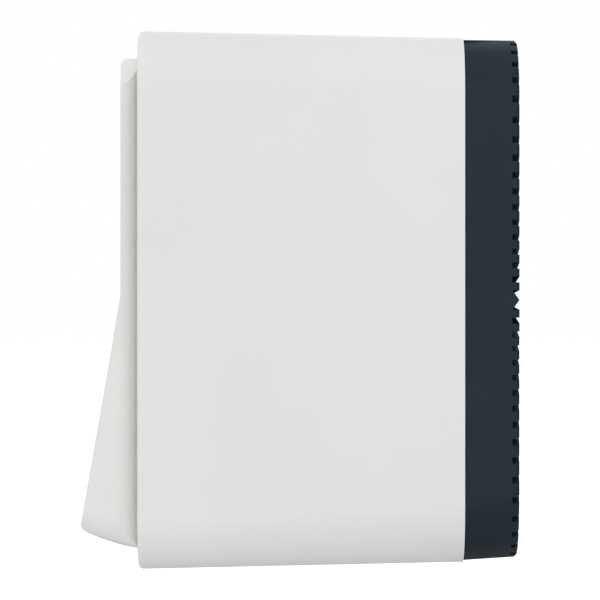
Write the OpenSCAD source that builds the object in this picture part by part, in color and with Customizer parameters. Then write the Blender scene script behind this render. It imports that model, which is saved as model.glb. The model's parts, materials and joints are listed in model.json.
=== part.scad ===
// Deep square video doorbell with a ribbed front bezel and a wedge-shaped wall bracket.
// Frame: +Z up, the face looks along -Y, +X is to the right of someone facing it.
// Origin: middle of the overall box, at the level of the lowest edge.

/* [Housing] */
// Width and height of the housing at its rear edge
rear_size = 90; // [89:0.5:92]
// Width and height of the housing where it meets the bezel
seam_size = 88; // [87.5:0.5:89]
// Depth of the housing
housing_depth = 54.5; // [54:0.5:58]
// Corner radius at the bezel seam
seam_corner_r = 9.9; // [9:0.1:11]
// Corner radius at the rear edge
rear_corner_r = 8.3; // [7.5:0.1:9]
// Rounding of the rear edge
rear_edge_r = 0.8; // [0.4:0.1:1.2]
// Thickness of the side walls
wall = 2.2; // [1.8:0.1:2.4]
// Thickness of the rear wall
rear_wall = 2.5; // [2.2:0.1:2.6]

/* [Bezel] */
// Width and height of the bezel
bezel_size = 87.4; // [87:0.1:87.5]
// Depth of the bezel
bezel_depth = 8.9; // [8.5:0.1:9.2]
// Open line between the bezel and the housing
seam_gap = 0.15; // [0:0.05:0.25]
// Radius of the bezel's corners in front
front_corner_r = 11.2; // [10:0.1:13]
// How much smaller the bezel is in front than at the seam
front_draft = 0.45; // [0:0.05:0.8]
// Width of the slope that breaks the bezel's front edge
front_edge = 0.45; // [0.2:0.05:0.8]
// Thickness of the bezel's face
face_t = 2.6; // [2.4:0.1:2.8]
// Angle from one groove to the next, in degrees
groove_pitch = 3; // [3:1:3]
// Width of each groove
groove_w = 0.95; // [0.7:0.05:1.05]
// Depth of each groove
groove_d = 1.2; // [0.6:0.1:1.3]
// Radius of the plain hub inside the grooves
hub_r = 28.6; // [28:0.1:29]

/* [Camera and bell button] */
// Height of the camera's axis above the middle of the face
camera_up = 12; // [11.5:0.1:12.5]
// Distance of the bell button's axis below the middle of the face
button_down = 11.5; // [11:0.1:11.8]
// Radius of the bell button's cap
button_r = 9; // [8:0.1:9]
// Travel of the bell button
button_travel = 0.6; // [0.3:0.1:0.6]

/* [Wall bracket] */
// Width of the bracket
bracket_w = 81.2; // [80:0.2:82]
// Thickness of the flat upper half behind the housing
plate_t = 2.9; // [2.8:0.1:3.2]
// How far the wedge's tip stands behind the housing
wedge_reach = 9.6; // [9.4:0.1:10]
// Radius of the bracket's upper corners
bracket_corner_r = 6.6; // [5:0.1:8]
// Rounding along the top of the bracket's back
hump_edge_r = 1.2; // [0.4:0.1:1.6]
// Radius of the bracket's lower side edges
foot_r = 4.2; // [3:0.1:5]
// Radius of the curve from the bracket's sides in to its neck
neck_r = 3.9; // [3.6:0.1:5]
// Thickness of the bracket's skin
skin = 2.0; // [1.8:0.1:2.2]
// Radius of the wall screw holes
wall_screw_r = 2.25; // [2:0.05:2.5]

/* [Cells] */
// Radius of one cell
cell_r = 7.2; // [7:0.05:7.25]
// Length of one cell over its contact stud
cell_length = 50.5; // [49.5:0.1:50.5]

/* [Hidden] */
$fn = 64;
eps = 0.01;

// Heights and depths that the rest is built from
mid_z = rear_size / 2;
front_y = -(bezel_depth + housing_depth + wedge_reach) / 2;
seam_y = front_y + bezel_depth;
rear_y = seam_y + housing_depth;
wall_in_y = rear_y - rear_wall;

// Bezel and what stands behind its face
face_in_y = front_y + face_t;
tongue_end_y = seam_y + 3.2;
bezel_cavity = seam_size - 2 * wall - 3.4;
seal_t = 1;
ledge_t = 1.4;
fascia_front_y = front_y + 0.4;
fascia_back_y = front_y + 2.2;
fascia_r = 26.85;
fascia_hole_r = 27;
hub_bore_r = 24.6;
boss_y = front_y + 4.6;
board_front_y = front_y + 6.8;
board_back_y = front_y + 8.4;
board_post_r = 26.8;
board_post_angles = [30, 150, 270];
slot_sector = 34;

// Camera and bell button
camera_z = mid_z + camera_up;
button_z = mid_z - button_down;
camera_open_r = 8.95;
button_open_r = 11.3;
mic_z = mid_z + 22.4;
flange_y = front_y + 2.9;
flange_t = 0.8;
carrier_floor_y = flange_y + flange_t + button_travel + 0.9;
plunger_end_y = board_front_y - 0.78 - button_travel;
camera_board_y = front_y + 11.6;
ear_x = 10;

// Corner towers that take the long screws
tower_xz = 35.6;
tower_front_y = front_y + 17.4;
screw_seat_y = front_y + 23.4;

// Speaker
speaker_z = 27;
baffle_y = tongue_end_y + 0.1 + seal_t + ledge_t;
baffle_t = 1.6;
speaker_hole = 17.3;

// Main board, tray and cells
board_y = 2.4;
board_t = 1.6;
tray_x = 31.1;
tray_z = [23.7, 83.2];
tray_front_y = 6.4;
tray_floor = 1.6;
tray_wall = 1.4;
cell_pitch = 14.7;
cell_y = 15.6;
contact_t = 0.4;
door_x = 31.7;
door_z = [23.1, 83.8];

// Small rear board with the wired terminals and the sync button
rear_board_y = 14;
rear_boss_x = 27.5;
rear_boss_z = 12.5;
sync_x = 21.5;
sync_z = 13;
terminal_x = 7;

// Bracket: the slanted wall face leans from the kink down to the tip
bracket_y = rear_y + 0.2;
plate_y = rear_y + plate_t;
tip_y = rear_y + wedge_reach;
bracket_top = mid_z + 40.6;
kink_z = mid_z + 0.78;
tip_z = 7.3;
slant = atan((tip_y - plate_y) / (kink_z - tip_z));
arc_from = [bracket_y, 3.6];
arc_to = [tip_y - 0.45, 6.5];
arc_r = 24;
arc_steps = 12;
neck_depth = 3.2;
hook_x = 36.2;
hook_w = 4;
hook_z = [58, 24];
hook_root_y = [28.6, 32.6];
hook_travel = 6;
wall_screw_x = 28;
wall_screw_z = 26;
wall_boss_t = 3.4;

white = [0.9, 0.9, 0.89];
anthracite = [0.17, 0.2, 0.22];
black = [0.07, 0.07, 0.08];
steel = [0.7, 0.71, 0.72];
board_green = [0.1, 0.32, 0.2];

// ---- Building blocks ----

// A flat outline in X and Z, made solid from y0 to y1
module facing(y0, y1) {
    translate([0, y1, 0]) rotate([90, 0, 0]) linear_extrude(y1 - y0) children();
}

// A round bar along Y
module disc(x, z, r, y0, y1) {
    translate([x, y1, z]) rotate([90, 0, 0]) cylinder(r = r, h = y1 - y0);
}

module ring(x, z, r_out, r_in, y0, y1) {
    difference() {
        disc(x, z, r_out, y0, y1);
        disc(x, z, r_in, y0 - 1, y1 + 1);
    }
}

// A box given by its two corners
module slab(x, y, z) {
    translate([x[0], y[0], z[0]]) cube([x[1] - x[0], y[1] - y[0], z[1] - z[0]]);
}

// A square with round corners, in the middle of the face
module rounded_square(size, r) {
    translate([0, mid_z]) union() {
        square([size, size - 2 * r], center = true);
        square([size - 2 * r, size], center = true);
        for (sx = [-1, 1], sz = [-1, 1])
            translate([sx * (size / 2 - r), sz * (size / 2 - r)]) circle(r = r);
    }
}

// One thin slice of a body that tapers from front to back
module slice(size, r, y) {
    facing(y - eps, y) rounded_square(size, r, $fn = 48);
}

module at_towers() {
    for (sx = [-1, 1], sz = [-1, 1]) translate([sx * tower_xz, 0, mid_z + sz * tower_xz]) children();
}

module at_board_posts() {
    for (angle = board_post_angles)
        translate([board_post_r * cos(angle), 0, mid_z + board_post_r * sin(angle)]) children();
}

// A screw along Y with its head towards +Y: seat is where the head's underside sits
module rear_screw(seat, shank_r, length, head_r, head_h) {
    difference() {
        union() {
            disc(0, 0, shank_r, seat - length, seat + eps);
            disc(0, 0, head_r, seat, seat + head_h);
        }
        for (turn = [0, 90]) translate([0, seat + head_h, 0]) rotate([0, turn, 0])
            cube([head_r * 1.2, head_h, head_r * 0.3], center = true);
    }
}

// The same screw with its head towards -Y
module front_screw(seat, shank_r, length, head_r, head_h) {
    mirror([0, 1, 0]) rear_screw(-seat, shank_r, length, head_r, head_h);
}

// A wire through a list of points
module wire(points, r) {
    for (i = [0 : len(points) - 2]) {
        run = points[i + 1] - points[i];
        flat_run = norm([run[0], run[1]]);
        translate(points[i]) rotate([0, atan2(flat_run, run[2]), atan2(run[1], run[0])])
            cylinder(r = r, h = norm(run), $fn = 24);
    }
    for (i = [1 : len(points) - 2]) translate(points[i]) sphere(r = r * 1.15, $fn = 24);
}

// ---- Housing ----

module housing_outside() {
    hull() {
        slice(seam_size, seam_corner_r, seam_y + seam_gap + eps);
        for (part = [0, 0.3, 1]) {
            inset = rear_edge_r * (1 - sqrt(1 - pow(1 - part, 2)));
            slice(rear_size - 2 * inset, rear_corner_r - inset, rear_y - rear_edge_r * part);
        }
    }
}

module housing_inside() {
    hull() {
        slice(seam_size - 2 * wall, seam_corner_r - wall, seam_y - 0.1);
        slice(rear_size - 2 * wall, rear_corner_r - wall, wall_in_y);
    }
}

module hook_slots() {
    for (sx = [-1, 1], z = hook_z)
        slab([sx * hook_x - hook_w / 2 - 0.4, sx * hook_x + hook_w / 2 + 0.4],
             [wall_in_y - 1, rear_y + 1], [z - hook_travel - 0.6, z + 3.2]);
}

module housing() {
    color(white) difference() {
        union() {
            difference() {
                housing_outside();
                housing_inside();
            }
            // Ledge that the face seal and the speaker baffle sit on
            facing(tongue_end_y + 0.1 + seal_t, tongue_end_y + 0.1 + seal_t + ledge_t) difference() {
                rounded_square(seam_size - wall, seam_corner_r - wall / 2);
                rounded_square(bezel_cavity - 0.6, 5.7);
            }
            at_towers() disc(0, 0, 3.4, tower_front_y, wall_in_y + 0.1);
            for (sx = [-1, 1])
                disc(sx * rear_boss_x, rear_boss_z, 2.4, rear_board_y + board_t, wall_in_y + 0.1);
        }
        at_towers() {
            disc(0, 0, 1.65, tower_front_y - 1, rear_y + 1);
            disc(0, 0, 2.8, screw_seat_y, rear_y + 1);
        }
        for (sx = [-1, 1])
            disc(sx * rear_boss_x, rear_boss_z, 1.05, rear_board_y, rear_board_y + board_t + 4.4);
        slab([-door_x - 0.3, door_x + 0.3], [wall_in_y - 1, rear_y + 1], [door_z[0] - 0.3, door_z[1] + 0.3]);
        slab([-15, 15], [wall_in_y - 1, rear_y + 1], [7.5, 18.5]);
        disc(sync_x, sync_z, 2.1, wall_in_y - 1, rear_y + 1);
        hook_slots();
    }
}

// ---- Bezel ----

// The grooves on either side of each compass point give way to a roof-shaped ridge
function is_plain_groove(k) = let (step = (k + 0.5) * groove_pitch % 90) step > 2 && step < 88;

module groove(angle) {
    translate([0, front_y - 1, mid_z]) rotate([0, -angle, 0])
        translate([hub_r, 0, -groove_w / 2]) cube([40, groove_d + 1, groove_w]);
}

// One sloping side of a ridge: a notch that deepens away from the ridge's crest
module ridge_side(angle, side) {
    crest = bezel_size / 2 * tan(groove_pitch / 2);
    translate([0, front_y, mid_z]) rotate([0, -angle - side * groove_pitch / 2, 0])
        translate([hub_r, 0, 0]) rotate([90, 0, 90]) linear_extrude(40)
            polygon([[0, -side * crest], [groove_d, side * groove_w / 2], [-1, side * groove_w / 2],
                     [-1, -side * crest]]);
}

module bezel_grooves() {
    for (k = [0 : 360 / groove_pitch - 1]) if (is_plain_groove(k)) groove((k + 0.5) * groove_pitch);
    for (angle = [0 : 90 : 270], side = [-1, 1]) ridge_side(angle, side);
}

// Sound slots through the floors of the lowest grooves
module sound_slots() {
    for (k = [0 : 360 / groove_pitch - 1]) {
        angle = (k + 0.5) * groove_pitch;
        if (is_plain_groove(k) && abs(angle - 270) < slot_sector)
            translate([0, front_y, mid_z]) rotate([0, -angle, 0])
                translate([31, 0, -0.3]) cube([7, face_t + 1, 0.6]);
    }
}

// The corners are rounder in front than at the seam. The top stays level while the other sides draw in
// towards the front, and a narrow slope breaks the front edge.
module bezel_outside() {
    front_size = bezel_size - front_draft;
    hull() {
        translate([0, 0, front_draft / 2]) {
            slice(front_size - 2 * front_edge, front_corner_r - front_edge, front_y + eps);
            slice(front_size, front_corner_r, front_y + front_edge);
        }
        slice(bezel_size, seam_corner_r, seam_y);
    }
}

module front_bezel() {
    color(anthracite) difference() {
        union() {
            difference() {
                union() {
                    bezel_outside();
                    facing(seam_y - eps, tongue_end_y) rounded_square(seam_size - 2 * wall - 0.6, 7.4);
                }
                facing(face_in_y, tongue_end_y + 1) rounded_square(bezel_cavity, 6);
            }
            disc(0, mid_z, 29, face_in_y - eps, boss_y);
            at_board_posts() disc(0, 0, 1.9, face_in_y, board_front_y);
            at_towers() disc(0, 0, 3, face_in_y - eps, tower_front_y - 0.2);
        }
        disc(0, mid_z, fascia_hole_r, front_y - 1, fascia_back_y);
        disc(0, mid_z, hub_bore_r, front_y, boss_y + 3);
        at_board_posts() disc(0, 0, 1, front_y + 3.4, board_front_y + 1);
        at_towers() disc(0, 0, 1.25, front_y + 6.4, tower_front_y);
        bezel_grooves();
        sound_slots();
    }
}

module acoustic_mesh() {
    color([0.2, 0.2, 0.21]) intersection() {
        ring(0, mid_z, 38.8, 30.2, face_in_y, face_in_y + 0.3);
        facing(face_in_y - 1, face_in_y + 1) polygon([[0, mid_z], [-36, mid_z - 48], [36, mid_z - 48]]);
    }
}

module face_seal() {
    color(black) facing(tongue_end_y + 0.1, tongue_end_y + 0.1 + seal_t) difference() {
        rounded_square(seam_size - 2 * wall - 0.6, 7.4);
        rounded_square(bezel_cavity, 6);
    }
}

// ---- Face panel, camera and bell button ----

module fascia() {
    color(black) difference() {
        disc(0, mid_z, fascia_r, fascia_front_y, fascia_back_y);
        disc(0, camera_z, camera_open_r, front_y, fascia_back_y + 1);
        disc(0, button_z, button_open_r, front_y, fascia_back_y + 1);
        disc(0, mic_z, 0.6, front_y, fascia_back_y + 1);
    }
}

module lens_ring() {
    color(steel) difference() {
        disc(0, camera_z, 8.85, front_y, fascia_back_y);
        disc(0, camera_z, 7.75, front_y - 1, front_y + 1.4);
        disc(0, camera_z, 7, front_y, fascia_back_y + 1);
    }
}

module lens_cover() {
    color([0.5, 0.55, 0.6, 0.4]) disc(0, camera_z, 7.65, front_y + 0.25, front_y + 1.4);
}

module lens_barrel() {
    color(black) difference() {
        union() {
            disc(0, camera_z, 6.6, front_y + 2.4, front_y + 4);
            disc(0, camera_z, 6.2, front_y + 4 - eps, front_y + 10.4);
        }
        disc(0, camera_z, 4.7, front_y, front_y + 11);
        disc(0, camera_z, 5.4, front_y, front_y + 3.6);
    }
}

// A lens is the part of a ball that stands in front of a flat back
module lens(dome_r, rim_r, back_y) {
    ball_y = back_y - 0.4 + sqrt(dome_r * dome_r - rim_r * rim_r);
    intersection() {
        translate([0, ball_y, camera_z]) sphere(r = dome_r, $fn = 200);
        disc(0, camera_z, rim_r, back_y - 4, back_y);
    }
}

module lens_elements() {
    color([0.35, 0.4, 0.5, 0.5]) {
        lens(7, 4.6, front_y + 5.4);
        lens(11, 4.6, front_y + 9.2);
    }
}

module lens_holder() {
    color(black) difference() {
        union() {
            slab([-7.5, 7.5], [front_y + 7, camera_board_y], [camera_z - 7.5, camera_z + 7.5]);
            slab([-12, 12], [board_back_y, board_back_y + 1.6], [camera_z - 2.5, camera_z + 2.5]);
        }
        disc(0, camera_z, 6.25, front_y, camera_board_y + 1);
        for (sx = [-1, 1]) disc(sx * ear_x, camera_z, 0.9, board_back_y - 1, board_back_y + 3);
    }
}

module image_sensor() {
    color([0.25, 0.3, 0.35])
        slab([-3.6, 3.6], [camera_board_y - 0.9, camera_board_y], [camera_z - 3, camera_z + 3]);
}

module camera_board() {
    color(board_green) slab([-9, 9], [camera_board_y, camera_board_y + 1.2], [camera_z - 9, camera_z + 9]);
}

module camera_screws() {
    color(steel) for (sx = [-1, 1]) translate([sx * ear_x, 0, camera_z])
        rear_screw(board_back_y + 1.6, 0.85, 2.8, 1.6, 1);
}

// Flat ribbon cable from the camera board back to the main board
module camera_flex() {
    back_y = camera_board_y + 1.2;
    color([0.75, 0.45, 0.15]) {
        slab([-4, 4], [back_y, back_y + 0.3], [58, 69.3]);
        slab([-4, 4], [back_y, board_y - 1.1], [69, 69.3]);
        slab([-4, 4], [board_y - 1.4, board_y - 1.1], [69, 74]);
    }
}

module light_ring() {
    color([0.85, 0.88, 0.9]) ring(0, button_z, 11.15, button_r + 0.2, front_y + 0.3, front_y + 2.8);
}

module bell_button() {
    color([0.2, 0.21, 0.23]) {
        disc(0, button_z, button_r, front_y, flange_y + eps);
        disc(0, button_z, 10.4, flange_y, flange_y + flange_t);
        disc(0, button_z, 2.8, flange_y + flange_t - eps, plunger_end_y);
    }
}

module button_carrier() {
    color(black) {
        ring(0, button_z, 12.8, 11.4, fascia_back_y, carrier_floor_y + 0.8);
        ring(0, button_z, 11.5, 2.88, carrier_floor_y, carrier_floor_y + 0.8);
        for (angle = [90, 210, 330])
            disc(8 * cos(angle), button_z + 8 * sin(angle), 1, carrier_floor_y + 0.8 - eps, board_front_y);
    }
}

module button_spring() {
    color(steel) ring(0, button_z, 8, 5, flange_y + flange_t + 0.05, carrier_floor_y - 0.05);
}

module button_switch() {
    color(steel) {
        slab([-2.5, 2.5], [board_front_y - 0.6, board_front_y], [button_z - 2.5, button_z + 2.5]);
        disc(0, button_z, 1.4, board_front_y - 0.73, board_front_y - 0.6 + eps);
    }
}

module front_board() {
    color(board_green) difference() {
        disc(0, mid_z, 28.4, board_front_y, board_back_y);
        slab([-7.8, 7.8], [board_front_y - 1, board_back_y + 1], [camera_z - 7.8, camera_z + 7.8]);
        at_board_posts() disc(0, 0, 1.1, board_front_y - 1, board_back_y + 1);
        for (sx = [-1, 1]) disc(sx * ear_x, camera_z, 0.9, board_front_y - 1, board_back_y + 1);
    }
}

module front_board_screws() {
    color(steel) at_board_posts() rear_screw(board_back_y, 0.95, 4.4, 1.9, 1.2);
}

module ir_lamps() {
    color([0.3, 0.1, 0.15]) for (sx = [-1, 1], sz = [-1, 1]) {
        x = sx * 14.5;
        z = camera_z + sz * 4;
        slab([x - 1.7, x + 1.7], [board_front_y - 1.2, board_front_y], [z - 1.7, z + 1.7]);
        disc(x, z, 1.2, board_front_y - 2, board_front_y - 1.2 + eps);
    }
}

module light_sensor() {
    color([0.6, 0.6, 0.55]) slab([-19, -17], [board_front_y - 1.2, board_front_y], [46, 48]);
}

module microphone() {
    color([0.8, 0.7, 0.4])
        slab([-1.9, 1.9], [board_front_y - 1.1, board_front_y], [mic_z - 1.5, mic_z + 1.5]);
}

module microphone_boot() {
    color(black) ring(0, mic_z, 1.9, 0.7, fascia_back_y, board_front_y - 1.1);
}

// ---- Speaker ----

module speaker_baffle() {
    color(black) difference() {
        intersection() {
            facing(baffle_y, baffle_y + baffle_t) rounded_square(seam_size - 2 * wall - 0.8, 6.6);
            slab([-50, 50], [baffle_y - 1, baffle_y + 2], [0, 49]);
        }
        disc(0, speaker_z, 16.4, baffle_y - 1, baffle_y + 3);
        at_towers() disc(0, 0, 3.6, baffle_y - 1, baffle_y + 3);
        for (sx = [-1, 1], sz = [-1, 1])
            disc(sx * speaker_hole, speaker_z + sz * speaker_hole, 0.9, baffle_y - 1, baffle_y + 3);
    }
}

module speaker_frame() {
    rim_y = baffle_y + baffle_t;
    color([0.25, 0.25, 0.26]) difference() {
        union() {
            slab([-20, 20], [rim_y, rim_y + 1.4], [speaker_z - 20, speaker_z + 20]);
            translate([0, rim_y + 1.4 - eps, speaker_z]) rotate([-90, 0, 0])
                cylinder(r1 = 18, r2 = 11, h = 9);
        }
        translate([0, rim_y + 1.4 - 2 * eps, speaker_z]) rotate([-90, 0, 0])
            cylinder(r1 = 17, r2 = 10, h = 8);
        disc(0, speaker_z, 16.4, rim_y - 1, rim_y + 1.5);
        disc(0, speaker_z, 6, rim_y, rim_y + 12);
        for (sx = [-1, 1], sz = [-1, 1])
            disc(sx * speaker_hole, speaker_z + sz * speaker_hole, 0.9, rim_y - 1, rim_y + 3);
    }
}

module speaker_cone() {
    color([0.12, 0.12, 0.13]) translate([0, baffle_y + baffle_t, speaker_z]) rotate([-90, 0, 0])
        rotate_extrude() polygon([[0, 5.2], [5, 6.4], [13.4, 0.8], [14.8, 0.1], [16.3, 0.4], [16.3, 0.9],
                                  [14.8, 0.6], [13.6, 1.3], [5.2, 7], [5.2, 9], [4.8, 9], [4.8, 6.9],
                                  [0, 5.7]]);
}

module speaker_magnet() {
    color(steel) translate([0, baffle_y + baffle_t + 10.4, speaker_z]) rotate([-90, 0, 0])
        rotate_extrude() polygon([[5.6, -1.2], [5.8, -1.2], [5.8, 0], [11, 0], [11, 5.2], [0, 5.2], [0, 4],
                                  [5.6, 4]]);
}

module speaker_screws() {
    color(steel) for (sx = [-1, 1], sz = [-1, 1])
        translate([sx * speaker_hole, 0, speaker_z + sz * speaker_hole])
            rear_screw(baffle_y + baffle_t + 1.4, 0.85, 3.4, 1.6, 1);
}

module speaker_leads() {
    color([0.75, 0.15, 0.12]) for (x = [-13, -11])
        wire([[x, baffle_y + baffle_t + 1.4, 46], [x, -15, 46], [x, -15, 51], [x, board_y - 3.5, 51]], 0.45);
}

// ---- Main board ----

module at_board_corners() {
    for (sx = [-1, 1], z = [27, 80]) translate([sx * 28, 0, z]) children();
}

module main_board() {
    color(board_green) difference() {
        slab([-31, 31], [board_y, board_y + board_t], [24, 84]);
        at_board_corners() disc(0, 0, 1.2, board_y - 1, board_y + 3);
    }
}

module main_board_screws() {
    color(steel) at_board_corners() front_screw(board_y, 1, 4.6, 2, 1.4);
}

module shield_can() {
    color([0.8, 0.8, 0.82]) difference() {
        slab([-28, -6], [board_y - 3, board_y], [56, 76]);
        slab([-27.7, -6.3], [board_y - 2.7, board_y + 1], [56.3, 75.7]);
    }
}

module antenna() {
    color([0.85, 0.75, 0.4]) slab([6, 26], [board_y - 8, board_y], [77, 77.8]);
}

module capacitors() {
    color([0.2, 0.25, 0.4]) for (x = [12, 21]) disc(x, 62, 3.2, board_y - 8, board_y);
}

module board_connectors() {
    color([0.93, 0.92, 0.86]) {
        slab([-5, 5], [board_y - 1.1, board_y], [69.5, 74.5]);
        slab([-15, -9], [board_y - 3.5, board_y], [49, 53]);
        slab([20.5, 27], [board_y - 3.5, board_y], [29.5, 34]);
    }
}

// ---- Cells, tray and door ----

module battery_tray() {
    color([0.2, 0.2, 0.22]) difference() {
        union() {
            slab([-tray_x, tray_x], [tray_front_y, wall_in_y], tray_z);
            difference() {
                slab([-33.6, 33.6], [wall_in_y - 1.5, wall_in_y], [21.6, 85.3]);
                at_towers() disc(0, 0, 3.6, wall_in_y - 3, wall_in_y + 1);
            }
            at_board_corners() disc(0, 0, 2.4, board_y + board_t, tray_front_y + eps);
        }
        slab([tray_wall - tray_x, tray_x - tray_wall], [tray_front_y + tray_floor, wall_in_y + 1],
             [tray_z[0] + tray_wall, tray_z[1] - tray_wall]);
        at_board_corners() disc(0, 0, 1.05, board_y, board_y + board_t + 3.2);
    }
}

cell_floor_z = tray_z[0] + tray_wall + contact_t;
cell_roof_z = tray_z[1] - tray_wall - contact_t;

function cell_x(index) = (index - 2.5) * cell_pitch;

// The stud points down in odd places and up in even ones
module cell(index) {
    stud = 1.1;
    stud_down = index % 2 == 1;
    base_z = stud_down ? cell_floor_z + stud : cell_roof_z - cell_length;
    translate([cell_x(index), cell_y, base_z]) {
        color([0.75, 0.55, 0.3]) cylinder(r = cell_r, h = cell_length - stud);
        color(steel) translate([0, 0, stud_down ? -stud : cell_length - stud - eps])
            cylinder(r = 2.75, h = stud + eps);
    }
}

module cell_1() { cell(1); }
module cell_2() { cell(2); }
module cell_3() { cell(3); }
module cell_4() { cell(4); }

module contact_springs() {
    spring_h = cell_roof_z - cell_floor_z - cell_length;
    color(steel) for (index = [1 : 4]) {
        z = index % 2 == 1 ? cell_roof_z - spring_h : cell_floor_z;
        translate([cell_x(index), cell_y, z]) difference() {
            cylinder(r = 4.6, h = spring_h);
            translate([0, 0, -1]) cylinder(r = 3.8, h = spring_h + 2);
        }
    }
}

module contact_plates() {
    color(steel) for (index = [1 : 4], z = [cell_floor_z - contact_t, cell_roof_z])
        slab([cell_x(index) - 5, cell_x(index) + 5], [cell_y - 5, cell_y + 5], [z, z + contact_t]);
}

module battery_leads() {
    for (x = [22.5, 25]) color(x < 24 ? [0.75, 0.15, 0.12] : black)
        wire([[x, 12, tray_z[0] - 0.8], [x, board_y - 2.6, tray_z[0] - 0.8], [x, board_y - 2.6, 29.5]], 0.6);
}

module door_seal() {
    color(black) difference() {
        slab([-door_x, door_x], [wall_in_y, wall_in_y + 0.4], door_z);
        slab([2 - door_x, door_x - 2], [wall_in_y - 1, wall_in_y + 1], [door_z[0] + 2, door_z[1] - 2]);
    }
}

module battery_door() {
    color(white) difference() {
        slab([-door_x, door_x], [wall_in_y + 0.4, rear_y - 0.2], door_z);
        // Finger recess
        slab([-9, 9], [rear_y - 1.4, rear_y], [door_z[0] + 3, door_z[0] + 9]);
    }
}

// ---- Wired terminals and sync button ----

module rear_board() {
    color(board_green) difference() {
        slab([-31, 31], [rear_board_y, rear_board_y + board_t], [5.6, 19.6]);
        for (sx = [-1, 1]) disc(sx * rear_boss_x, rear_boss_z, 1.2, rear_board_y - 1, rear_board_y + 3);
    }
}

module rear_board_screws() {
    color(steel) for (sx = [-1, 1]) translate([sx * rear_boss_x, 0, rear_boss_z])
        front_screw(rear_board_y, 1, 5.4, 2, 1.4);
}

module terminal_block() {
    front = rear_board_y + board_t;
    color([0.15, 0.35, 0.25]) difference() {
        slab([-14, 14], [front, rear_y - 1.6], [8.5, 17.5]);
        for (sx = [-1, 1]) {
            disc(sx * terminal_x, 13, 1.55, front + 1, rear_y);
            disc(sx * terminal_x, 13, 3, rear_y - 3.6, rear_y);
        }
    }
}

module terminal_screws() {
    color(steel) for (sx = [-1, 1]) translate([sx * terminal_x, 0, 13])
        rear_screw(rear_y - 3.6, 1.5, 5.6, 2.6, 1.8);
}

module sync_button() {
    color([0.3, 0.3, 0.32]) {
        disc(sync_x, sync_z, 2, wall_in_y - 0.3, rear_y - 0.4);
        disc(sync_x, sync_z, 3, wall_in_y - 1.1, wall_in_y - 0.2);
        disc(sync_x, sync_z, 1.4, rear_board_y + 5.55, wall_in_y - 1);
    }
}

module sync_switch() {
    top = rear_board_y + board_t + 3;
    color(steel) {
        slab([sync_x - 2.5, sync_x + 2.5], [rear_board_y + board_t, top], [sync_z - 2.5, sync_z + 2.5]);
        disc(sync_x, sync_z, 1.2, top - eps, top + 0.4);
    }
}

module sync_spring() {
    color(steel) ring(sync_x, sync_z, 2.3, 1.7, rear_board_y + board_t + 3.05, wall_in_y - 1.15);
}

module housing_screws() {
    color(steel) at_towers() rear_screw(screw_seat_y, 1.2, 16, 2.6, 2.2);
}

// ---- Wall bracket ----

// Points of the curved underside, from the housing out to the tip
function arc_points(r_less) = let (
    chord = arc_to - arc_from,
    lean = atan2(chord[1], chord[0]),
    half = asin(norm(chord) / 2 / arc_r),
    centre = arc_from + arc_r * [-sin(lean - half), cos(lean - half)])
    [for (i = [0 : arc_steps]) let (a = lean - half + 2 * half * i / arc_steps)
        centre + (arc_r - r_less) * [sin(a), -cos(a)]];

// Side outline of the bracket in Y and Z, drawn in by the given amount
module bracket_profile(less) {
    lean = [cos(slant), sin(slant)] * less;
    tip = [tip_y, tip_z] - lean;
    front = bracket_y - (less > 0 ? 1 : 0);
    start = arc_points(less)[0];
    polygon(concat(
        [[front, start[1]]],
        [for (p = arc_points(less)) if (p[0] < tip[0] - 0.3 * less) p],
        [tip, [plate_y - less, kink_z - less * tan(slant / 2)]],
        [for (a = [0 : 18 : 90]) [plate_y - less - hump_edge_r * (1 - cos(a)),
                                  bracket_top - less - hump_edge_r * (1 - sin(a))]],
        [[front, bracket_top - less]]));
}

// Outline from behind, with round upper corners
module bracket_outline(less) {
    r = bracket_corner_r - less;
    w = bracket_w / 2 - less;
    high = bracket_top - less;
    for (x = [r - w, w - r]) translate([x, high - r]) circle(r = r);
    translate([-w, 0]) square([2 * w, high - r]);
    translate([r - w, 0]) square([2 * (w - r), high]);
}

// Half the width at the neck, from 0 at the housing to 1 where the side runs straight
function neck_x(part) = bracket_w / 2 - neck_r + sqrt(pow(neck_r, 2) - pow(neck_depth * (1 - part), 2));

// Outline from above: the sides curve in towards the housing
module bracket_plan(less) {
    steps = [for (i = [0 : 6]) i / 6];
    right = concat([[neck_x(0) - less, bracket_y - 2]],
                   [for (part = steps) [neck_x(part) - less, bracket_y + neck_depth * part]],
                   [[bracket_w / 2 - less, tip_y + 2]]);
    polygon(concat(right, [for (i = [len(right) - 1 : -1 : 0]) [-right[i][0], right[i][1]]]));
}

// Everything above a plane that leans with the underside, with round lower corners
module bracket_foot(less) {
    chord = arc_to - arc_from;
    drop = arc_r * (1 - sqrt(1 - pow(norm(chord) / 2 / arc_r, 2))) + 0.05;
    lean = atan2(chord[1], chord[0]);
    r = foot_r - less;
    w = bracket_w / 2 - less;
    translate([0, arc_from[0], arc_from[1] - drop]) rotate([lean, 0, 0]) facing(-20, 50) {
        for (x = [r - w, w - r]) translate([x, r + less]) circle(r = r);
        translate([-w, r + less]) square([2 * w, 110]);
        translate([r - w, less]) square([2 * (w - r), 110]);
    }
}

module bracket_solid(less) {
    intersection() {
        translate([-bracket_w / 2, 0, 0]) rotate([90, 0, 90]) linear_extrude(bracket_w) bracket_profile(less);
        facing(bracket_y - 2, tip_y + 2) bracket_outline(less);
        linear_extrude(100) bracket_plan(less);
        bracket_foot(less);
    }
}

// Hook: a stem through the slot, and a foot that reaches up behind the housing's rear wall
module bracket_hook(z, root_y) {
    foot_y = wall_in_y - 2.2;
    for (sx = [-1, 1]) {
        x = [sx * hook_x - hook_w / 2, sx * hook_x + hook_w / 2];
        slab(x, [foot_y, root_y], [z, z + 3]);
        slab(x, [foot_y, foot_y + 1.9], [z, z + 8]);
    }
}

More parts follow.
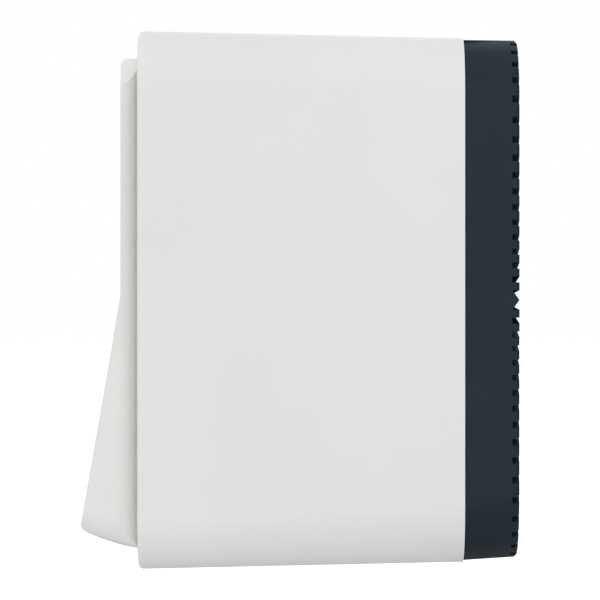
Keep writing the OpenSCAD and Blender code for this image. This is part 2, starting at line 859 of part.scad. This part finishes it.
// Places things square to the slanted face, with +Y pointing out through it
module on_slant(x, z) {
    translate([x, plate_y + (kink_z - z) * tan(slant), z]) rotate([slant, 0, 0]) children();
}

module wall_bracket() {
    color(white) difference() {
        union() {
            difference() {
                bracket_solid(0);
                bracket_solid(skin);
            }
            for (i = [0, 1]) bracket_hook(hook_z[i], hook_root_y[i]);
            // Stiffening ribs inside the wedge
            intersection() {
                bracket_solid(0.5);
                for (x = [-18, 18]) slab([x - 0.7, x + 0.7], [bracket_y + 0.3, tip_y], [2, kink_z]);
            }
            for (sx = [-1, 1]) on_slant(sx * wall_screw_x, wall_screw_z) disc(0, 0, 5, -wall_boss_t, -0.5);
        }
        for (sx = [-1, 1]) on_slant(sx * wall_screw_x, wall_screw_z)
            disc(0, 0, wall_screw_r, -wall_boss_t - 1, 1);
        // Window for the wires from the wall
        slab([-9, 9], [bracket_y + 2, tip_y + 1], [10, 20]);
    }
}

housing();
front_bezel();
wall_bracket();
fascia();
lens_ring();
lens_cover();
light_ring();
bell_button();
acoustic_mesh();
face_seal();
button_carrier();
button_spring();
button_switch();
front_board();
front_board_screws();
lens_barrel();
lens_elements();
lens_holder();
image_sensor();
camera_board();
camera_screws();
camera_flex();
ir_lamps();
light_sensor();
microphone();
microphone_boot();
speaker_baffle();
speaker_frame();
speaker_cone();
speaker_magnet();
speaker_screws();
speaker_leads();
main_board();
main_board_screws();
shield_can();
antenna();
capacitors();
board_connectors();
battery_tray();
cell_1();
cell_2();
cell_3();
cell_4();
contact_springs();
contact_plates();
battery_leads();
battery_door();
door_seal();
rear_board();
rear_board_screws();
terminal_block();
terminal_screws();
sync_button();
sync_spring();
sync_switch();
housing_screws();
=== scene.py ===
"""Looks for the deep square video doorbell: materials, finer meshes, light, floor and camera.

Every length is in metres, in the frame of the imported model: +Z up, the face looks along -Y.
"""

import json
import math

import bmesh
import bpy
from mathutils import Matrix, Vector


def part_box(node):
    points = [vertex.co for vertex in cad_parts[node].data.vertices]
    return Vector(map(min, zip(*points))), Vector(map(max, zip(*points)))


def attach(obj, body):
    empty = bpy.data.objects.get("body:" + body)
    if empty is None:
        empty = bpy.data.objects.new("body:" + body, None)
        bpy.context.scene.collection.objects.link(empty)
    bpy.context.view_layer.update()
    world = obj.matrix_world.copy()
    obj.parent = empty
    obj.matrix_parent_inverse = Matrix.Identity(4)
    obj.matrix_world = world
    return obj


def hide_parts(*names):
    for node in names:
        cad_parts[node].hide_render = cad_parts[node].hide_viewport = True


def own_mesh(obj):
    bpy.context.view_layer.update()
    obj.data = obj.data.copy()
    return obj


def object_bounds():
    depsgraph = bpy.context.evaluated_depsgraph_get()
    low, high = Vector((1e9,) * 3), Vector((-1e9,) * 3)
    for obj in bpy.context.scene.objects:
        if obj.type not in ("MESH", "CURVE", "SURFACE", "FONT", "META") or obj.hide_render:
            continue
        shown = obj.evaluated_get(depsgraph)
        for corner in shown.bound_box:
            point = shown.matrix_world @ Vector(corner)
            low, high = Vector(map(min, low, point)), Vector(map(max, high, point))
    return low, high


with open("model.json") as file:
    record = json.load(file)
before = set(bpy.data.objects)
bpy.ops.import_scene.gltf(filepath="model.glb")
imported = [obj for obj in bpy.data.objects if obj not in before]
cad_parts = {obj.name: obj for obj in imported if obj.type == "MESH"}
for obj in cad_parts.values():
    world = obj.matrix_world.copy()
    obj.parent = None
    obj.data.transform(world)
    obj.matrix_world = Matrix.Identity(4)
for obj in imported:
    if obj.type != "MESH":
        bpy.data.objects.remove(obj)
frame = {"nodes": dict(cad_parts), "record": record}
cad_box = [list(corner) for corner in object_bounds()]

MM = 0.001
NODES = frame["nodes"]
scene = bpy.context.scene
scene.view_settings.view_transform = "Standard"


# ---- Node helpers for materials ----

def new_material(name):
    """A node material with an empty node tree."""
    material = bpy.data.materials.new(name)
    material.use_nodes = True
    material.node_tree.nodes.clear()
    return material


def add_node(material, kind, inputs=None, **settings):
    """Adds a node, sets its properties, and fills its inputs with values or links."""
    node = material.node_tree.nodes.new(kind)
    for key, value in settings.items():
        setattr(node, key, value)
    for key, value in (inputs or {}).items():
        if isinstance(value, bpy.types.NodeSocket):
            material.node_tree.links.new(value, node.inputs[key])
        else:
            node.inputs[key].default_value = value
    return node


def add_principled(material, inputs):
    """The material's shader, wired to its output."""
    shader = add_node(material, "ShaderNodeBsdfPrincipled", inputs)
    add_node(material, "ShaderNodeOutputMaterial", {"Surface": shader.outputs[0]})


def add_noise(material, per_mm, detail=2.0, roughness=0.5, stretch=None):
    """Noise that is fixed to the object, with so many features to the millimetre."""
    coords = add_node(material, "ShaderNodeTexCoord").outputs["Object"]
    if stretch:
        coords = add_node(material, "ShaderNodeMapping", {"Vector": coords, "Scale": stretch}).outputs[0]
    return add_node(material, "ShaderNodeTexNoise", {
        "Vector": coords, "Scale": per_mm / MM, "Detail": detail, "Roughness": roughness}).outputs["Fac"]


def spread(material, value, low, high, low_in=0.3, high_in=0.7):
    """Maps noise to a range."""
    return add_node(material, "ShaderNodeMapRange", {
        "Value": value, "From Min": low_in, "From Max": high_in, "To Min": low, "To Max": high}).outputs[0]


def mix_colours(material, value, low, high):
    return add_node(material, "ShaderNodeMix", {0: value, 6: (*low, 1), 7: (*high, 1)},
                    data_type="RGBA").outputs[2]


def add_bump(material, height, distance, strength):
    return add_node(material, "ShaderNodeBump", {
        "Height": height, "Distance": distance, "Strength": strength}).outputs[0]


def shade(colour, factor):
    return tuple(min(1.0, c * factor) for c in colour)


# ---- Materials ----

def moulded_plastic(name, colour, roughness, specular=0.5, grain=0.012, spots=0.02, rim=None):
    """Moulded plastic: a fine eroded texture, faint flow shading, and patches that hands have polished.

    The grain is the texture's depth in millimetres. A rim value gives the specular level at grazing angles,
    where a coarse texture shades itself.
    """
    material = new_material(name)
    fine = add_noise(material, 3.2, detail=3.0, roughness=0.6)
    broad = add_noise(material, 0.035, detail=2.0)
    patches = add_noise(material, 0.12, detail=4.0, roughness=0.65)
    base = mix_colours(material, spread(material, broad, 0.0, 1.0),
                       shade(colour, 1 - spots), shade(colour, 1 + spots * 0.5))
    rough = spread(material, patches, roughness - 0.05, roughness + 0.05)
    if rim is not None:
        facing = add_node(material, "ShaderNodeLayerWeight", {"Blend": 0.5}).outputs["Facing"]
        specular = spread(material, facing, specular, rim, 0.2, 0.9)
    add_principled(material, {
        "Base Color": base, "Roughness": rough, "Specular IOR Level": specular,
        "Normal": add_bump(material, fine, grain * MM, 0.6)})
    return material


def gloss_plastic(name, colour, roughness=0.08, coat=0.0):
    """Polished plastic with the slight waviness of a moulding and a few dust specks."""
    material = new_material(name)
    waves = add_noise(material, 0.06, detail=1.0)
    specks = add_noise(material, 1.4, detail=4.0, roughness=0.7)
    rough = spread(material, specks, roughness, roughness + 0.12, 0.55, 0.75)
    add_principled(material, {
        "Base Color": (*colour, 1), "Roughness": rough, "Coat Weight": coat,
        "Normal": add_bump(material, waves, 0.05 * MM, 0.3)})
    return material


def metal(name, colour, roughness=0.3, brushed=None):
    """Plated or turned metal, with fine lines along one direction when brushed."""
    material = new_material(name)
    grain = add_noise(material, 2.0, detail=4.0, stretch=brushed)
    rough = spread(material, grain, roughness - 0.07, roughness + 0.1)
    tint = mix_colours(material, grain, shade(colour, 0.9), shade(colour, 1.05))
    add_principled(material, {
        "Base Color": tint, "Metallic": 1.0, "Roughness": rough,
        "Normal": add_bump(material, grain, 0.004 * MM, 0.4)})
    return material


def rubber(name, colour, roughness=0.75):
    material = new_material(name)
    grain = add_noise(material, 1.5, detail=3.0)
    tint = mix_colours(material, grain, shade(colour, 0.85), shade(colour, 1.2))
    add_principled(material, {
        "Base Color": tint, "Roughness": roughness, "Specular IOR Level": 0.3,
        "Normal": add_bump(material, grain, 0.02 * MM, 0.5)})
    return material


def clear(name, tint, roughness=0.02, ior=1.5):
    """Clear glass or resin."""
    material = new_material(name)
    smudge = add_noise(material, 0.2, detail=3.0)
    add_principled(material, {
        "Base Color": (*tint, 1), "Roughness": spread(material, smudge, roughness, roughness + 0.03),
        "IOR": ior, "Transmission Weight": 1.0})
    return material


def circuit_board(name):
    """Green solder mask over faint copper tracks."""
    material = new_material(name)
    coords = add_node(material, "ShaderNodeTexCoord").outputs["Object"]
    tracks = add_node(material, "ShaderNodeTexBrick", {
        "Vector": add_node(material, "ShaderNodeMapping", {
            "Vector": coords, "Rotation": (math.radians(90), 0, 0)}).outputs[0],
        "Scale": 0.18 / MM, "Mortar Size": 0.03, "Color1": (0.012, 0.11, 0.05, 1),
        "Color2": (0.018, 0.14, 0.065, 1), "Mortar": (0.03, 0.2, 0.09, 1)}, offset=0.37, squash=0.6)
    add_principled(material, {
        "Base Color": tracks.outputs["Color"], "Roughness": 0.35, "Coat Weight": 0.3,
        "Normal": add_bump(material, tracks.outputs["Fac"], 0.02 * MM, 0.6)})
    return material


def woven_mesh(name):
    """Fine acoustic cloth: two crossed sets of threads."""
    material = new_material(name)
    coords = add_node(material, "ShaderNodeTexCoord").outputs["Object"]
    threads = [
        add_node(material, "ShaderNodeTexWave", {"Vector": coords, "Scale": 0.8 / MM, "Distortion": 0.4},
                 bands_direction=axis).outputs["Fac"]
        for axis in ("X", "Z")]
    weave = add_node(material, "ShaderNodeMath", {0: threads[0], 1: threads[1]},
                     operation="MULTIPLY").outputs[0]
    add_principled(material, {
        "Base Color": mix_colours(material, weave, (0.008, 0.008, 0.009), (0.05, 0.05, 0.053)),
        "Roughness": 0.85, "Normal": add_bump(material, weave, 0.08 * MM, 0.8)})
    return material


MATERIALS = {
    "shell_white": moulded_plastic("shell_white", (0.76, 0.76, 0.745), 0.5, specular=0.4),
    "bracket_white": moulded_plastic("bracket_white", (0.765, 0.765, 0.75), 0.55, specular=0.35),
    "bezel_anthracite": moulded_plastic("bezel_anthracite", (0.0056, 0.014, 0.022), 0.5, specular=0.24,
                                        grain=0.008, spots=0.06, rim=0.0),
    "fascia_black": gloss_plastic("fascia_black", (0.004, 0.004, 0.005), 0.05, coat=0.5),
    "trim_metal": metal("trim_metal", (0.5, 0.51, 0.53), 0.28, brushed=(1, 8, 1)),
    "clear_glass": clear("clear_glass", (0.97, 0.985, 0.99)),
    "coated_glass": clear("coated_glass", (0.72, 0.66, 0.95), 0.01, 1.7),
    "light_guide": gloss_plastic("light_guide", (0.72, 0.77, 0.8), 0.3),
    "button_grey": moulded_plastic("button_grey", (0.03, 0.033, 0.037), 0.4, grain=0.006),
    "mesh_fabric": woven_mesh("mesh_fabric"),
    "seal_rubber": rubber("seal_rubber", (0.015, 0.015, 0.016)),
    "black_plastic": moulded_plastic("black_plastic", (0.014, 0.014, 0.016), 0.55),
    "cone_paper": rubber("cone_paper", (0.02, 0.02, 0.022), 0.9),
    "lamp_resin": gloss_plastic("lamp_resin", (0.09, 0.02, 0.035), 0.1),
    "sensor_glass": gloss_plastic("sensor_glass", (0.05, 0.08, 0.1), 0.05, coat=1.0),
    "flex_amber": gloss_plastic("flex_amber", (0.42, 0.16, 0.02), 0.25),
    "lead_red": rubber("lead_red", (0.4, 0.02, 0.015), 0.5),
    "capacitor_sleeve": gloss_plastic("capacitor_sleeve", (0.02, 0.05, 0.14), 0.25),
    "connector_ivory": moulded_plastic("connector_ivory", (0.7, 0.66, 0.5), 0.5),
    "terminal_green": moulded_plastic("terminal_green", (0.02, 0.15, 0.07), 0.45),
    "brass_foil": metal("brass_foil", (0.75, 0.56, 0.24), 0.3),
    "board_green": circuit_board("board_green"),
    "cell_sleeve": gloss_plastic("cell_sleeve", (0.4, 0.18, 0.04), 0.2),
    "steel_parts": metal("steel_parts", (0.6, 0.6, 0.61), 0.32),
}

slots = {row["node"]: row["material_slot"] for row in frame["record"]["subparts"]}
for node_name, node_object in NODES.items():
    for place in node_object.material_slots:
        place.material = MATERIALS[slots[node_name]]


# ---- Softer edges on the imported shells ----

def geometry_group(name):
    group = bpy.data.node_groups.new(name, "GeometryNodeTree")
    group.interface.new_socket("Geometry", in_out="INPUT", socket_type="NodeSocketGeometry")
    group.interface.new_socket("Geometry", in_out="OUTPUT", socket_type="NodeSocketGeometry")
    return group


def chain(group, steps):
    """Joins geometry nodes one after another between the group's input and output."""
    link = group.links.new
    flow = group.nodes.new("NodeGroupInput").outputs[0]
    for kind, inputs, settings in steps:
        step = group.nodes.new(kind)
        for key, value in settings.items():
            setattr(step, key, value)
        for key, value in inputs.items():
            if isinstance(value, bpy.types.NodeSocket):
                link(value, step.inputs[key])
            else:
                step.inputs[key].default_value = value
        link(flow, step.inputs[0])
        flow = step.outputs[0]
    link(flow, group.nodes.new("NodeGroupOutput").inputs[0])


def welding_group():
    """Joins the loose faces of an imported solid and drops its stored normals."""
    group = geometry_group("weld")
    chain(group, [
        ("GeometryNodeMergeByDistance", {"Distance": 0.002 * MM}, {}),
        ("GeometryNodeRemoveAttribute", {"Name": "custom_normal"}, {}),
    ])
    return group


def smoothing_group(angle):
    """Smooth shading, apart from edges sharper than the angle."""
    group = geometry_group("smooth_by_angle")
    edge_angle = group.nodes.new("GeometryNodeInputMeshEdgeAngle").outputs[0]
    sharp = group.nodes.new("FunctionNodeCompare")
    sharp.operation = "GREATER_THAN"
    group.links.new(edge_angle, sharp.inputs[0])
    sharp.inputs[1].default_value = angle
    chain(group, [
        ("GeometryNodeSetShadeSmooth", {"Shade Smooth": True}, {"domain": "FACE"}),
        ("GeometryNodeSetShadeSmooth", {"Selection": sharp.outputs[0], "Shade Smooth": False},
         {"domain": "EDGE"}),
    ])
    return group


SHARP_ANGLE = math.radians(35)
FLAT_ANGLE = math.radians(0.6)
WELD = welding_group()
SMOOTH = smoothing_group(SHARP_ANGLE)


def add_group(obj, name, group):
    modifier = obj.modifiers.new(name, "NODES")
    modifier.node_group = group


def soften(obj, width, segments=2):
    """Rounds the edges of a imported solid, as a mould or a tumbled part has them."""
    add_group(obj, "weld", WELD)
    flat = obj.modifiers.new("flat", "DECIMATE")
    flat.decimate_type = "DISSOLVE"
    flat.angle_limit = FLAT_ANGLE
    bevel = obj.modifiers.new("bevel", "BEVEL")
    bevel.width = width
    bevel.segments = segments
    bevel.limit_method = "ANGLE"
    bevel.angle_limit = SHARP_ANGLE
    bevel.use_clamp_overlap = True
    bevel.miter_outer = "MITER_ARC"
    add_group(obj, "smooth", SMOOTH)
    normals = obj.modifiers.new("normals", "WEIGHTED_NORMAL")
    normals.keep_sharp = True
    normals.weight = 80


# How wide the rounding of each packed shell's edges is, in millimetres.
EDGE_WIDTHS = {
    "housing": 0.12, "front_bezel": 0.15, "wall_bracket": 0.5, "fascia": 0.18, "battery_door": 0.3,
    "terminal_block": 0.3, "sync_button": 0.2, "battery_tray": 0.2, "speaker_baffle": 0.2, "shield_can": 0.15,
    "board_connectors": 0.15, "lens_holder": 0.2, "antenna": 0.1,
}
for node_name, width in EDGE_WIDTHS.items():
    soften(NODES[node_name], width * MM)


# ---- Finer pieces in place of plain solids ----

ON_AXIS = 1e-7


def add_piece(name, shape, slot_name, body, stands_for=()):
    """Makes an object of a shape, with its finish, its body and the nodes that it stands for."""
    bmesh.ops.recalc_face_normals(shape, faces=shape.faces)
    mesh = bpy.data.meshes.new(name)
    shape.to_mesh(mesh)
    shape.free()
    mesh.materials.append(MATERIALS[slot_name])
    piece = bpy.data.objects.new(name, mesh)
    scene.collection.objects.link(piece)
    add_group(piece, "smooth", SMOOTH)
    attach(piece, body)
    if stands_for:
        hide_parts(*stands_for)
    return piece


def rounded(corners, radius, steps=4):
    """The corners of a turned profile with each one off the axis rounded, as far as its sides allow."""
    result = []
    count = len(corners)
    for i, corner in enumerate(corners):
        here = Vector(corner)
        back = Vector(corners[i - 1]) - here
        ahead = Vector(corners[(i + 1) % count]) - here
        if here.x < ON_AXIS:
            result.append(tuple(here))
            continue
        reach = min(radius, back.length * 0.45, ahead.length * 0.45)
        start = here + back.normalized() * reach
        end = here + ahead.normalized() * reach
        for step in range(steps + 1):
            t = step / steps
            result.append(tuple(start.lerp(here, t).lerp(here.lerp(end, t), t)))
    return result


def lathe(shape, profile, x, z, sides=96):
    """Turns a closed profile of (radius, y) about an axis along Y. Points on the axis become poles."""
    rings = []
    for radius, y in profile:
        if radius < ON_AXIS:
            rings.append([shape.verts.new((x, y, z))] * sides)
            continue
        rings.append([shape.verts.new((x + radius * math.cos(turn), y, z + radius * math.sin(turn)))
                      for turn in (2 * math.pi * i / sides for i in range(sides))])
    for ring, after in zip(rings, rings[1:] + rings[:1]):
        for i in range(sides):
            j = (i + 1) % sides
            corners = list(dict.fromkeys((ring[i], ring[j], after[j], after[i])))
            if len(corners) > 2:
                shape.faces.new(corners)


def sweep(shape, points, radius, sides=10):
    """A round bar along a smooth line, closed at both ends."""
    points = [Vector(point) for point in points]
    side = None
    rings = []
    for i, point in enumerate(points):
        along = (points[min(i + 1, len(points) - 1)] - points[max(i - 1, 0)]).normalized()
        side = side or along.orthogonal()
        side = (side - along * side.dot(along)).normalized()
        other = along.cross(side)
        rings.append([shape.verts.new(point + radius * (side * math.cos(turn) + other * math.sin(turn)))
                      for turn in (2 * math.pi * k / sides for k in range(sides))])
    for ring, after in zip(rings, rings[1:]):
        for k in range(sides):
            shape.faces.new((ring[k], ring[(k + 1) % sides], after[(k + 1) % sides], after[k]))
    shape.faces.new(rings[0])
    shape.faces.new(rings[-1])


def middle_of(node_name):
    low_corner, high_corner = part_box(node_name)
    return [(a + b) / 2 for a, b in zip(low_corner, high_corner)]


def make_button():
    """The bell button with its dished face, flange and plunger."""
    low_corner, high_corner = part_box("bell_button")
    x, _, z = middle_of("bell_button")
    front, rear = low_corner[1], high_corner[1]
    flange = front + 2.9 * MM
    flange_rear = flange + 0.8 * MM
    face_r, flange_r, plunger_r = 9.0 * MM, 10.4 * MM, 2.8 * MM
    dish_r, dish_depth, dish_steps = 7.6 * MM, 0.85 * MM, 12
    dish = [(dish_r * t, front + dish_depth * (1 - t * t))
            for t in (k / dish_steps for k in range(dish_steps + 1))]
    body_profile = rounded([
        (face_r, front), (face_r, flange), (flange_r, flange), (flange_r, flange_rear),
        (plunger_r, flange_rear), (plunger_r, rear)], 0.45 * MM)
    shape = bmesh.new()
    lathe(shape, dish + body_profile + [(0, rear)], x, z)
    add_piece("bell_button_cap", shape, "button_grey", "bell_button", ["bell_button"])


def make_light_ring():
    """The frosted ring round the button, crowned in front."""
    low_corner, high_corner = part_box("light_ring")
    x, _, z = middle_of("light_ring")
    outer, inner = 11.15 * MM, 9.2 * MM
    front, rear = low_corner[1], high_corner[1]
    crown_height, crown_steps = 0.35 * MM, 8
    crown = [(inner + (outer - inner) * t, front + crown_height * (2 * t - 1) ** 2)
             for t in (k / crown_steps for k in range(crown_steps + 1))]
    shape = bmesh.new()
    lathe(shape, crown + rounded([(outer, rear), (inner, rear)], 0.1 * MM), x, z)
    add_piece("light_guide_ring", shape, "light_guide", "body", ["light_ring"])


def make_lens_trim():
    """The turned ring round the camera window, with fine steps that fall inwards."""
    low_corner, high_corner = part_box("lens_ring")
    x, _, z = middle_of("lens_ring")
    front, rear = low_corner[1], high_corner[1]
    seat = front + 1.4 * MM
    inner_step, outer_step = front + 0.3 * MM, front + 0.15 * MM
    bore_r, window_r, outer_r = 7.0 * MM, 7.75 * MM, 8.85 * MM
    middle_r, lip_r = 8.0 * MM, 8.25 * MM
    profile = rounded([
        (window_r, seat), (window_r, inner_step), (middle_r, inner_step), (middle_r, outer_step),
        (lip_r, outer_step), (lip_r, front), (outer_r, front), (outer_r, rear),
        (bore_r, rear), (bore_r, seat)], 0.12 * MM)
    shape = bmesh.new()
    lathe(shape, profile, x, z)
    add_piece("lens_trim", shape, "trim_metal", "body", ["lens_ring"])


def make_barrel_baffles():
    """Fine ridges inside the lens barrel that keep stray light out."""
    low_corner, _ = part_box("lens_barrel")
    x, _, z = middle_of("lens_barrel")
    start = low_corner[1] + 0.15 * MM
    ridge_count, pitch, width = 3, 0.32 * MM, 0.24 * MM
    root_r, crest_r = 5.42 * MM, 5.1 * MM
    shape = bmesh.new()
    for k in range(ridge_count):
        y = start + k * pitch
        lathe(shape, [(root_r, y), (root_r, y + width), (crest_r, y + width / 2)], x, z)
    add_piece("lens_barrel_baffles", shape, "black_plastic", "body")


def make_wave_spring():
    """A spring of flat wavy turns, crest to crest."""
    low_corner, high_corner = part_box("button_spring")
    x, _, z = middle_of("button_spring")
    outer, inner, strip = 8.0 * MM, 5.6 * MM, 0.14 * MM
    section = ((inner, -strip / 2), (outer, -strip / 2), (outer, strip / 2), (inner, strip / 2))
    turns, waves, sides = 2, 4, 144
    height = high_corner[1] - low_corner[1]
    swing = (height / turns - strip) / 2
    shape = bmesh.new()
    for turn in range(turns):
        base = low_corner[1] + (turn + 0.5) * height / turns
        rings = []
        for k in range(sides):
            angle = 2 * math.pi * k / sides
            y = base + swing * math.cos(waves * angle) * (-1) ** turn
            rings.append([shape.verts.new((x + r * math.cos(angle), y + lift, z + r * math.sin(angle)))
                          for r, lift in section])
        for ring, after in zip(rings, rings[1:] + rings[:1]):
            for i in range(4):
                shape.faces.new((ring[i], ring[(i + 1) % 4], after[(i + 1) % 4], after[i]))
    piece = add_piece("wave_spring", shape, "steel_parts", "body", ["button_spring"])
    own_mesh(piece)


def coil_points(centre, axis, start_r, end_r, length, turns, wire_r):
    """A helix along an axis of the frame that starts at the centre, with closed end turns."""
    across = [k for k in range(3) if k != axis]
    points = []
    closed = 0.75
    steps = int(turns * 24)
    for i in range(steps + 1):
        t = i / steps
        turn = t * turns
        rise = min(max(turn - closed, 0), turns - 2 * closed) / (turns - 2 * closed)
        radius = start_r + (end_r - start_r) * t
        point = list(centre)
        point[axis] += wire_r + (length - 2 * wire_r) * rise
        point[across[0]] += radius * math.cos(2 * math.pi * turn)
        point[across[1]] += radius * math.sin(2 * math.pi * turn)
        points.append(point)
    return points


def make_sync_spring():
    """A coil behind the sync button."""
    low_corner, high_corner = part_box("sync_spring")
    x, _, z = middle_of("sync_spring")
    length = high_corner[1] - low_corner[1]
    wire_r, coil_r, turns = 0.2 * MM, 2.05 * MM, 5.5
    shape = bmesh.new()
    sweep(shape, coil_points((x, low_corner[1], z), 1, coil_r, coil_r, length, turns, wire_r), wire_r)
    piece = add_piece("sync_coil", shape, "steel_parts", "body", ["sync_spring"])
    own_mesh(piece)


def make_contact_coils():
    """A conical coil against the flat end of each cell."""
    low_all, high_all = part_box("contact_springs")
    shape = bmesh.new()
    wire_r, wide_r, narrow_r, turns = 0.35 * MM, 4.2 * MM, 2.6 * MM, 4.5
    for index in (1, 2, 3, 4):
        cell_low, cell_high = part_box(f"cell_{index}")
        x = (cell_low[0] + cell_high[0]) / 2
        y = (cell_low[1] + cell_high[1]) / 2
        on_top = index % 2 == 1
        wall = high_all[2] if on_top else low_all[2]
        length = high_all[2] - cell_high[2] if on_top else cell_low[2] - low_all[2]
        points = coil_points((x, y, 0), 2, wide_r, narrow_r, length, turns, wire_r)
        if on_top:
            points = [(px, py, wall - pz) for px, py, pz in points]
        else:
            points = [(px, py, wall + pz) for px, py, pz in points]
        sweep(shape, points, wire_r)
    add_piece("contact_coils", shape, "steel_parts", "body", ["contact_springs"])


make_button()
make_light_ring()
make_lens_trim()
make_barrel_baffles()
make_wave_spring()
make_sync_spring()
make_contact_coils()


# ---- Camera ----

low, high = (Vector(corner) for corner in cad_box)
middle = (low + high) / 2
VIEW_DISTANCE = 0.661
LENS_LENGTH = 239.9
camera_data = bpy.data.cameras.new("camera")
camera_data.lens = LENS_LENGTH
camera_data.sensor_width = 36
camera_data.clip_start = 0.05
camera_data.clip_end = 20
camera = bpy.data.objects.new("camera", camera_data)
camera.location = (low.x - VIEW_DISTANCE, middle.y - 0.1 * MM, middle.z)
camera.rotation_euler = (math.radians(90), 0, math.radians(-90))
scene.collection.objects.link(camera)
scene.camera = camera


# ---- Floor and light ----

def make_floor(base, glow, seen_glow):
    """A pale sheet that runs far past the view.

    It sends up a glow of its own, and shows itself as plain white, so no shadow is seen on it.
    """
    mesh = bpy.data.meshes.new("floor")
    shape = bmesh.new()
    bmesh.ops.create_circle(shape, cap_ends=True, segments=96, radius=4.0)
    shape.to_mesh(mesh)
    shape.free()
    floor = bpy.data.objects.new("floor", mesh)
    scene.collection.objects.link(floor)
    material = new_material("floor_paper")
    grain = add_noise(material, 0.05, detail=3.0)
    seen = add_node(material, "ShaderNodeLightPath").outputs["Is Camera Ray"]
    add_principled(material, {
        "Base Color": mix_colours(material, grain, (base * 0.98,) * 3, (base * 1.02,) * 3), "Roughness": 0.9,
        "Specular IOR Level": 0.0, "Emission Color": (1, 1, 1, 1),
        "Emission Strength": spread(material, seen, glow, seen_glow, 0.0, 1.0)})
    mesh.materials.append(material)


def make_world(backdrop, side, top, front, rear):
    """A plain white backdrop to look at, and a dome of light whose strength differs by direction."""
    world = bpy.data.worlds.new("studio")
    world.use_nodes = True
    tree = world.node_tree
    tree.nodes.clear()

    def step(kind, inputs, **settings):
        node = tree.nodes.new(kind)
        for key, value in settings.items():
            setattr(node, key, value)
        for key, value in inputs.items():
            if isinstance(value, bpy.types.NodeSocket):
                tree.links.new(value, node.inputs[key])
            else:
                node.inputs[key].default_value = value
        return node.outputs[0]

    direction = tree.nodes.new("ShaderNodeTexCoord").outputs["Generated"]
    axes = tree.nodes.new("ShaderNodeSeparateXYZ")
    tree.links.new(direction, axes.inputs[0])
    upward = step("ShaderNodeMapRange", {
        "Value": axes.outputs["Z"], "From Min": 0.0, "From Max": 1.0, "To Min": side, "To Max": top})
    rearward = step("ShaderNodeMapRange", {
        "Value": axes.outputs["Y"], "From Min": 0.0, "From Max": 1.0, "To Min": 0.0, "To Max": rear - side})
    frontward = step("ShaderNodeMapRange", {
        "Value": axes.outputs["Y"], "From Min": -1.0, "From Max": 0.0, "To Min": front - side, "To Max": 0.0})
    total = step("ShaderNodeMath", {0: upward, 1: rearward}, operation="ADD")
    total = step("ShaderNodeMath", {0: total, 1: frontward}, operation="ADD")
    total = step("ShaderNodeMath", {0: total, 1: 0.0}, operation="MAXIMUM")
    dome = step("ShaderNodeBackground", {"Color": (1, 1, 1, 1), "Strength": total})
    plain = step("ShaderNodeBackground", {"Color": (1, 1, 1, 1), "Strength": backdrop})
    seen = tree.nodes.new("ShaderNodeLightPath").outputs["Is Camera Ray"]
    mixed = step("ShaderNodeMixShader", {0: seen, 1: dome, 2: plain})
    tree.links.new(mixed, tree.nodes.new("ShaderNodeOutputWorld").inputs["Surface"])
    scene.world = world


def add_light(name, location, target, size, power):
    """A square soft light, aimed at a target."""
    data = bpy.data.lights.new(name, "AREA")
    data.shape = "RECTANGLE"
    data.size = size
    data.size_y = size
    data.energy = power
    light = bpy.data.objects.new(name, data)
    light.location = location
    light.rotation_euler = (Vector(target) - Vector(location)).to_track_quat("-Z", "Y").to_euler()
    scene.collection.objects.link(light)


make_floor(0.3, glow=0.5, seen_glow=1.2)
make_world(1.0, side=2.26, top=1.1, front=0.6, rear=1.15)
add_light("top_soft", location=(-0.1, -0.1, 0.9), target=middle, size=0.8, power=0.6)
